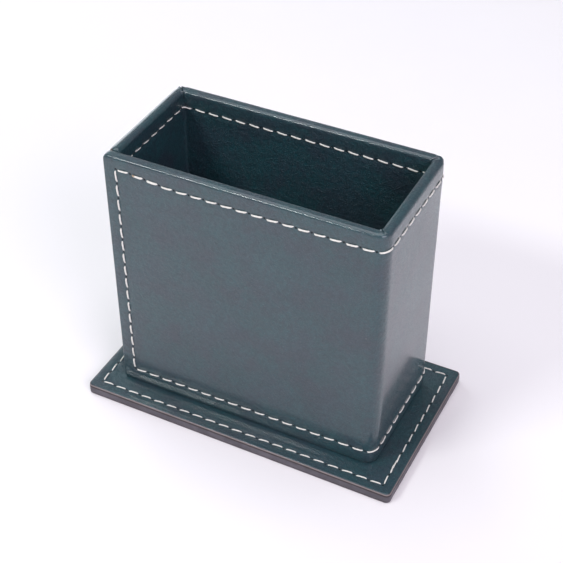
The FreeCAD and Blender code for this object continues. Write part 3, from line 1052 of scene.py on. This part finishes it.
class PENCUP_OT_floor_lining(bpy.types.Operator):
    """Build the padded lining on the cup's floor"""

    bl_idname = "pen_cup.floor_lining"
    bl_label = "Floor Lining"

    def execute(self, context):
        strip = WallStrip(context)
        low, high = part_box("floor_lining")
        board_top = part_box("floor_board")[1].z
        centre = (low + high) / 2
        half = Vector((high.x - low.x, high.y - low.y)) / 2
        outline = RoundedOutline(half, strip.sizes.inner_radius + 0.3 * MM, 2.5 * MM)
        # The section from the foot up, over the soft edge and in across the pad
        edge = ((0.05, 0.45), (0.18, 0.22), (0.42, 0.06), (0.8, 0.0))
        flat = (1.6, 2.6, 4, 5.5, 7.5, 9.5, 11.5, 13.5, 15.5, 17.5, 19)
        profile = [(0.0, low.z), (0.0, board_top - 0.2 * MM)]
        profile += [(e * MM, high.z - drop * MM) for e, drop in edge]
        profile += [(e * MM, high.z) for e in flat] + [(half.y, high.z)]
        parts = MeshParts()
        rings = []
        for e, z in profile:
            bow = 0.22 * MM * (e / half.y) ** 0.6
            ring = []
            for x, y in outline.inset(e):
                rough = 0.1 * MM * noise.noise(Vector((x, y, 0)) / (9 * MM)) if e > 1 * MM else 0
                ring.append((centre.x + x, centre.y + y, z + bow + rough))
            rings.append(parts.add(ring))
        hidden = outline.inset(strip.skin)
        top, foot = (
            parts.add((centre.x + x, centre.y + y, z) for x, y in hidden)
            for z in (board_top, low.z)
        )
        for one, other in [*zip(rings, rings[1:]), (top, foot), (foot, rings[0])]:
            parts.bridge(one, other)
        parts.faces.append(tuple(reversed(top)))
        hand_over(
            parts, "floor_lining_leather", "lining_leatherette", "floor_lining", merge=SAME
        )
        return {"FINISHED"}


# Foot plate


class PlateGrid:
    """A skin of the foot plate as a grid of lines along X and Y, rounded at its corners."""

    def __init__(self, context, node, seam_node, facing):
        self.sizes, self.sewing = context.scene.pen_cup_plate, context.scene.pen_cup_sewing
        low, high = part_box(node)
        self.half = Vector((high.x, high.y))
        self.facing = facing
        self.level, self.back = (high.z, low.z) if facing > 0 else (low.z, high.z)
        seam_low, seam_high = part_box(seam_node)
        half_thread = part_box("plate_seam_top")[1].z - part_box("plate_top_skin")[1].z
        self.seam = Vector((
            (seam_high.x - seam_low.x) / 2 - half_thread,
            (seam_high.y - seam_low.y) / 2 - half_thread,
        ))
        self.holes = [spaced(-half, half, self.sewing.pitch) for half in self.seam]
        self.lines = [self.axis(k) for k in (0, 1)]

    def axis(self, k):
        """Grid lines across X or Y."""
        half, holes, seam = self.half[k], self.holes[k], self.seam[k]
        keep = {-half, half} | either_side(holes, (HOLE_CELL,))
        lines = between_each(holes, (0.35, 0.65)) | either_side((-half, half), PLATE_LINES)
        if self.facing < 0:
            edges = either_side((-seam, seam), (self.sizes.channel_width / 2,))
            keep |= edges
            keep |= {v + math.copysign(0.1 * MM, v - math.copysign(seam, v)) for v in edges}
        return thinned(lines | keep, -half, half, keep=keep, cells=holes)

    def place(self, x, y):
        """A grid point on the rounded plate, and its distance in from the plate's edge."""
        r, (hx, hy) = self.sizes.corner_radius, self.half
        a, b = (abs(x) - (hx - r)) / r, (abs(y) - (hy - r)) / r
        e = min(hx - abs(x), hy - abs(y))
        if a <= 0 or b <= 0:
            return x, y, e
        u, v = a * math.sqrt(1 - b * b / 2), b * math.sqrt(1 - a * a / 2)
        x = math.copysign(hx - r + u * r, x)
        y = math.copysign(hy - r + v * r, y)
        return x, y, min(e, r - r * math.hypot(u, v))

    def height(self, x, y, e):
        """How far a point of the skin stands out of its flat face."""
        sizes = self.sizes
        down = -float(rounded(e, sizes.edge_roll))
        side_x, side_y = abs(abs(x) - self.seam.x), abs(abs(y) - self.seam.y)
        past_x, past_y = abs(x) >= self.seam.x, abs(y) >= self.seam.y
        if past_x:
            near = math.hypot(side_x, side_y) if past_y else side_x
        else:
            near = side_y if past_y else min(side_x, side_y)
        if self.facing < 0:
            sunk = max(side_x, side_y) if past_x and past_y else near
            return down - (sizes.channel_depth if sunk <= sizes.channel_width / 2 + SAME else 0)
        wave = sizes.wave * noise.noise(Vector((x, y, 0)) / (14 * MM))
        return down + wave + float(ripple(near, sizes.furrow, sizes.furrow_width))

    def build(self):
        """The skin's mesh; only the top one shows its needle holes."""
        xs, ys = self.lines
        parts, grid, pits = MeshParts(), [], set()
        for x in xs:
            placed = [self.place(x, y) for y in ys]
            grid.append(parts.add(
                (x, y, self.level + self.facing * self.height(x, y, e)) for x, y, e in placed
            ))
        if self.facing > 0:
            places = [(x, side * self.seam.y) for x in self.holes[0] for side in (-1, 1)]
            places += [(side * self.seam.x, y) for y in self.holes[1] for side in (-1, 1)]
            pits = {(nearest(xs, x - HOLE_CELL), nearest(ys, y - HOLE_CELL)) for x, y in places}
        for i in range(len(xs) - 1):
            for j in range(len(ys) - 1):
                corners = (grid[i][j], grid[i + 1][j], grid[i + 1][j + 1], grid[i][j + 1])
                if (i, j) in pits:
                    parts.needle_hole(corners, self.sewing)
                else:
                    parts.faces.append(corners[:: self.facing])
        border = [column[0] for column in grid] + grid[-1][1:]
        border += [column[-1] for column in grid[-2::-1]] + grid[0][-2:0:-1]
        below = parts.add((*parts.points[i][:2], self.back) for i in border)
        n = len(border)
        for k in range(n):
            m = (k + 1) % n
            parts.faces.append((border[m], border[k], below[k], below[m])[:: self.facing])
        parts.faces.append(tuple(below)[:: -self.facing])
        return parts


class PENCUP_OT_plate_skins(bpy.types.Operator):
    """Build the top and underside skins of the foot plate"""

    bl_idname = "pen_cup.plate_skins"
    bl_label = "Foot Plate Skins"

    def execute(self, context):
        top = PlateGrid(context, "plate_top_skin", "plate_seam_top", 1)
        hand_over(top.build(), "plate_top_leather", "cover_leatherette", "plate_top_skin")
        under = PlateGrid(context, "plate_under_skin", "plate_seam_under", -1)
        hand_over(
            under.build(), "plate_under_leather", "underside_leatherette", "plate_under_skin"
        )
        return {"FINISHED"}


class PENCUP_OT_plate_edge(bpy.types.Operator):
    """Build the painted cut edge of the foot plate"""

    bl_idname = "pen_cup.plate_edge"
    bl_label = "Painted Edge"

    def execute(self, context):
        sizes = context.scene.pen_cup_plate
        low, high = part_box("plate_edge_paint")
        skin_low, skin_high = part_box("plate_top_skin")
        skin, thick = skin_high.z - skin_low.z, high.z - low.z
        half = Vector((high.x, high.y))
        outline = RoundedOutline(half, sizes.corner_radius, 1.6 * MM)
        parts = MeshParts()
        rings = []
        for share in EDGE_ROWS:
            z = low.z + thick * share
            ease = float(rounded(min(share, 1 - share) * thick, EDGE_EASE))
            line = UPPER_LINE[0] * bell(z - (high.z - skin), UPPER_LINE[1])
            line += LOWER_LINE[0] * bell(z - (low.z + skin), LOWER_LINE[1])
            bow = 0.45 * sizes.paint_bulge * abs(2 * share - 1) ** 2.6
            ring = []
            for x, y in outline.inset(ease + line + bow):
                at = Vector((x, y, z))
                uneven = sum(depth * noise.noise(at / size) for depth, size in PAINT_WAVES)
                out = Vector((x, y)) / max(half)
                ring.append((x + out.x * uneven, y + out.y * uneven, z))
            rings.append(parts.add(ring))
            # painted highlight: the mask that lightens the rows near the paint's upper shoulder
            painted_highlight = max(0.0, 1 - abs(share - SHOULDER) / SHOULDER_REACH)
            parts.raw_burnt_and_highlight.update(dict.fromkeys(rings[-1], painted_highlight))
            parts.pit.update(dict.fromkeys(rings[-1], min(1.0, line / UPPER_LINE[0])))
        inset = outline.inset(high.x - skin_high.x)
        rings += [parts.add((x, y, z) for x, y in inset) for z in (high.z - 0.03 * MM, low.z)]
        for one, other in zip(rings, rings[1:] + rings[:1]):
            parts.bridge(one, other)
        hand_over(parts, "plate_edge_coat", "edge_paint", "plate_edge_paint")
        return {"FINISHED"}


# Sewing


class Sewing:
    """Plump two-ply stitches laid over any surface."""

    def __init__(self, context):
        self.sizes = context.scene.pen_cup_sewing
        self.random = random.Random(self.sizes.seed)

    def stitch(self, parts, surface, a, b, lean=1.0, fat=1.0, sunk=SUNK):
        """One stitch between the holes a and b. surface(t, side) gives a point and its normal."""
        sizes = self.sizes
        radius, length = sizes.thread_width / 2 * fat, b - a - 2 * sizes.dive
        jitter = [self.random.uniform(-1, 1) for _ in range(4)]
        phase = self.random.uniform(0, 2 * math.pi)
        plump = length - 2 * STITCH_END[-1] * MM
        count = max(2, round(plump / STITCH_STEP))
        along = [v * MM for v in STITCH_END]
        along += [STITCH_END[-1] * MM + plump * k / count for k in range(1, count)]
        along += [length - v * MM for v in reversed(STITCH_END)]
        centres, normals, scales = [], [], []
        for x in along:
            share = x / length
            rise = min(1.0, min(x, length - x) / STITCH_RISE)
            lift = math.sqrt(1 - (1 - rise) ** 2)
            side = (2 * share - 1) * (sizes.slant * lean + 0.03 * MM * jitter[0])
            side += 0.04 * MM * jitter[1]
            bow = STITCH_BOW * math.sin(math.pi * share)
            height = (STITCH_DIP + radius * STITCH_REST - sunk + bow) * lift - STITCH_DIP
            point, normal = surface(a + (sizes.dive + x + 0.05 * MM * jitter[2]), side)
            centres.append(Vector(point) + Vector(normal) * height)
            normals.append(Vector(normal))
            scales.append(END_SIZE + (1 - END_SIZE) * lift)
        rings = []
        for k, centre in enumerate(centres):
            ahead = centres[min(k + 1, len(centres) - 1)] - centres[max(k - 1, 0)]
            tangent = ahead.normalized()
            up = (normals[k] - tangent * normals[k].dot(tangent)).normalized()
            across = tangent.cross(up)
            turn = phase + 2 * math.pi * along[k] / sizes.ply_turn
            ring = []
            for j in range(THREAD_SIDES):
                angle = 2 * math.pi * j / THREAD_SIDES
                lobe = 1 + PLY_LOBES * math.cos(2 * (angle - turn))
                r = radius * scales[k] * lobe * (1 + 0.02 * jitter[3])
                out = across * (r * math.cos(angle)) + up * (THREAD_OVAL * r * math.sin(angle))
                ring.append(centre + out)
            rings.append(parts.add(ring))
        for one, other in zip(rings, rings[1:]):
            parts.bridge(one, other)
        parts.faces += [tuple(reversed(rings[0])), tuple(rings[-1])]


def wall_face(strip, side, level=None, s=None):
    """What a wall seam lies on: a level row at a height, or an upright one at the place s."""
    face = strip.inner if side == "inside" else strip.outer

    def level_row(t, aside):
        plan, normal = face(np.array([t]))
        return (*plan[0], level + aside + float(strip.drift(t, level))), (*normal[0], 0)

    def upright_row(t, aside):
        plan, normal = face(np.array([s + aside]))
        return (*plan[0], t + float(strip.drift(s, t))), (*normal[0], 0)

    return level_row if s is None else upright_row


class PENCUP_OT_wall_seams(bpy.types.Operator):
    """Sew the rim, foot and end seams of the walls, outside and inside"""

    bl_idname = "pen_cup.wall_seams"
    bl_label = "Wall Seams"

    def execute(self, context):
        strip, sewing = WallStrip(context), Sewing(context)
        for name, level in (("rim", strip.rim_seam), ("foot", strip.foot_seam)):
            for side, holes in strip.holes.items():
                parts = MeshParts()
                surface = wall_face(strip, side, level=level)
                for k, (a, b) in enumerate(zip(holes, holes[1:])):
                    doubled = (name, side) == ("rim", "outside") and k in DOUBLED
                    fat, sunk = DOUBLED_FAT if doubled else OUTSIDE_FAT[name], SUNK
                    if side == "inside":
                        on_left = a > strip.straights[3][0]
                        fat = LEFT_FAT if on_left else INSIDE_FAT
                        sunk = LEFT_SUNK if on_left else INSIDE_SUNK
                    first = len(parts.points)
                    sewing.stitch(parts, surface, a, b, fat=fat, sunk=sunk)
                    if doubled:
                        if k == min(DOUBLED):
                            parts.raw_burnt_and_highlight.update({first + i: 1 for i in range(BURNT_VERTICES)})
                        self.second_strand(parts, sewing, surface, a, b, DOUBLED[k])
                self.finish_row(parts, f"{name}_seam_{side}")
        for name, s in (("front_end", strip.first_hole), ("left_end", strip.last_hole)):
            for side in strip.holes:
                parts = MeshParts()
                surface = wall_face(strip, side, s=s)
                for a, b in zip(strip.upright, strip.upright[1:]):
                    sewing.stitch(parts, surface, a, b, lean=-1.0)
                self.finish_row(parts, f"{name}_seam_{side}")
        return {"FINISHED"}

    def second_strand(self, parts, sewing, surface, a, b, offset):
        """Sews a stitch again, beside the first one."""

        def beside(t, aside):
            return surface(t, aside + offset)

        sewing.stitch(parts, beside, a + 0.15 * MM, b - 0.2 * MM, lean=0.4, fat=0.85)

    def finish_row(self, parts, node):
        """Hands over the thread of one row."""
        hand_over(parts, f"{node}_thread", "thread", node, sharp=THREAD_SHARP)


class PENCUP_OT_plate_seams(bpy.types.Operator):
    """Sew the seam round the foot plate, on its top and in its underside channel"""

    bl_idname = "pen_cup.plate_seams"
    bl_label = "Foot Plate Seam"

    def execute(self, context):
        sewing = Sewing(context)
        for node, skin, facing, sunk in (
            ("plate_seam_top", "plate_top_skin", 1, SUNK),
            ("plate_seam_under", "plate_under_skin", -1, 2 * SUNK),
        ):
            grid = PlateGrid(context, skin, node, facing)
            level = grid.level + (grid.sizes.channel_depth if facing < 0 else 0)
            parts = MeshParts()
            for k in range(4):
                along = Vector(((1, 0), (0, 1), (-1, 0), (0, -1))[k])
                across = Vector((-along.y, along.x))
                origin = -across * grid.seam[1 - k % 2]

                def surface(t, aside, origin=origin, along=along, across=across):
                    plan = origin + along * t + across * aside
                    return (plan.x, plan.y, level), (0, 0, facing)

                holes = grid.holes[k % 2]
                for j, (a, b) in enumerate(zip(holes, holes[1:])):
                    sewing.stitch(parts, surface, a, b, sunk=sunk, fat=PLATE_FAT)
                    if facing > 0 and k == 1 and j == 1:  # the seam's ends overlap here
                        a, b = a + 2.2 * MM, b + 2.6 * MM
                        sewing.stitch(parts, surface, a, b, fat=0.8, lean=0.5)
            hand_over(parts, f"{node}_thread", "thread", node, sharp=THREAD_SHARP)
        return {"FINISHED"}


class PENCUP_OT_boards(bpy.types.Operator):
    """Give the hidden boards their fibrous grey finish"""

    bl_idname = "pen_cup.boards"
    bl_label = "Boards"

    def execute(self, context):
        for name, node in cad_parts.items():
            if "board" in name:
                node.data.materials.clear()
                node.data.materials.append(material_of("grey_board"))
        return {"FINISHED"}


# Studio


class PENCUP_OT_stage(bpy.types.Operator):
    """Set up the pale floor, the soft studio lights and the camera"""

    bl_idname = "pen_cup.stage"
    bl_label = "Studio"

    def execute(self, context):
        scene, stage, colours = (
            context.scene, context.scene.pen_cup_stage, context.scene.pen_cup_colours
        )
        self.floor()
        # Name, power, size, direction, distance and colour
        lights = (
            ("key", stage.key_power, 0.36, (-0.40, -0.62, 0.68), 1.15, (0.96, 1.0, 0.98)),
            ("side", stage.side_power, 0.6, (0.70, -0.45, 0.55), 1.2, (1.0, 0.87, 1.0)),
            ("top", stage.top_power, 1.5, (-0.05, 0.0, 1.0), 1.7, (0.95, 0.96, 0.99)),
            ("back", stage.back_power, 0.8, (-0.85, 0.50, 0.24), 1.2, (0.90, 0.95, 1.0)),
        )
        key, *_ = [self.light(scene, *values) for values in lights]
        key.shape, key.size_y = "RECTANGLE", 0.03
        scene.world = bpy.data.worlds.new("Surround")
        scene.world.use_nodes = True
        n = Nodes(scene.world.node_tree)
        facing = n.new("ShaderNodeTexCoord").outputs["Generated"]
        up = n.new("ShaderNodeSeparateXYZ", Vector=facing).outputs["Z"]
        colour = n.blend(n.ramp(up, 0.0, 0.16), colours.sky_low, colours.sky_high)
        n.feed(n.tree.nodes["Background"], Color=colour, Strength=stage.surround)
        self.camera(scene, stage)
        scene.view_settings.view_transform = "Standard"
        return {"FINISHED"}

    def floor(self):
        """A wide disc, just clear of the plate's underside."""
        parts = MeshParts()
        angles = [2 * math.pi * k / FLOOR_SIDES for k in range(FLOOR_SIDES)]
        z = frame_low.z - FLOOR_GAP
        rings = [
            parts.add((r * math.cos(a), r * math.sin(a), z) for a in angles) for r in FLOOR_RADII
        ]
        parts.faces.append(tuple(rings[0]))
        for inner, outer in zip(rings, rings[1:]):
            parts.bridge(outer, inner)
        parts.build("studio_floor", material_of("studio_floor"))

    def light(self, scene, name, power, size, direction, distance, colour):
        """A square area light, aimed at the cup."""
        data = bpy.data.lights.new(name, "AREA")
        data.energy, data.size, data.color = power, size, colour
        lamp = bpy.data.objects.new(name, data)
        scene.collection.objects.link(lamp)
        away = Vector(direction).normalized()
        lamp.location = AIM + away * distance
        lamp.rotation_euler = away.to_track_quat("Z", "Y").to_euler()
        return data

    def camera(self, scene, stage):
        """The camera, looking down at the front and right faces."""
        data = bpy.data.cameras.new("camera")
        data.lens, data.sensor_width, data.sensor_fit = stage.lens, 36, "HORIZONTAL"
        data.clip_start, data.clip_end = 0.01, 20
        camera = bpy.data.objects.new("camera", data)
        a, e = stage.azimuth, stage.elevation
        right = Vector((math.cos(a), math.sin(a), 0))
        back = Vector((math.sin(a) * math.cos(e), -math.cos(a) * math.cos(e), math.sin(e)))
        up = back.cross(right)
        target = AIM + right * AIM_RIGHT + up * AIM_UP
        turn = Matrix((right, up, back)).transposed().to_4x4()
        camera.matrix_world = Matrix.Translation(target + back * stage.distance) @ turn
        scene.collection.objects.link(camera)
        scene.camera = camera


OPERATORS = (
    PENCUP_OT_stage,
    PENCUP_OT_boards,
    PENCUP_OT_wall_leatherette,
    PENCUP_OT_floor_lining,
    PENCUP_OT_plate_skins,
    PENCUP_OT_plate_edge,
    PENCUP_OT_wall_seams,
    PENCUP_OT_plate_seams,
)


class PENCUP_PT_pieces(bpy.types.Panel):
    """Lists the cup's pieces in the sidebar"""

    bl_idname = "PENCUP_PT_pieces"
    bl_label = "Pen Cup"
    bl_space_type = "VIEW_3D"
    bl_region_type = "UI"
    bl_category = "Pen Cup"

    def draw(self, context):
        for operator in OPERATORS:
            self.layout.operator(operator.bl_idname)
        for name, group in SETTINGS.items():
            box = self.layout.box()
            settings = getattr(context.scene, name)
            for key in group.__annotations__:
                box.prop(settings, key)


CLASSES = (*SETTINGS.values(), *OPERATORS, PENCUP_PT_pieces)


def register():
    for cls in CLASSES:
        bpy.utils.register_class(cls)
    for name, group in SETTINGS.items():
        setattr(bpy.types.Scene, name, PointerProperty(type=group))


def unregister():
    for name in SETTINGS:
        delattr(bpy.types.Scene, name)
    for cls in reversed(CLASSES):
        bpy.utils.unregister_class(cls)


def main():
    register()
    for operator in OPERATORS:
        group, name = operator.bl_idname.split(".")
        getattr(getattr(bpy.ops, group), name)()
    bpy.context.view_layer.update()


if __name__ == "__main__":
    main()
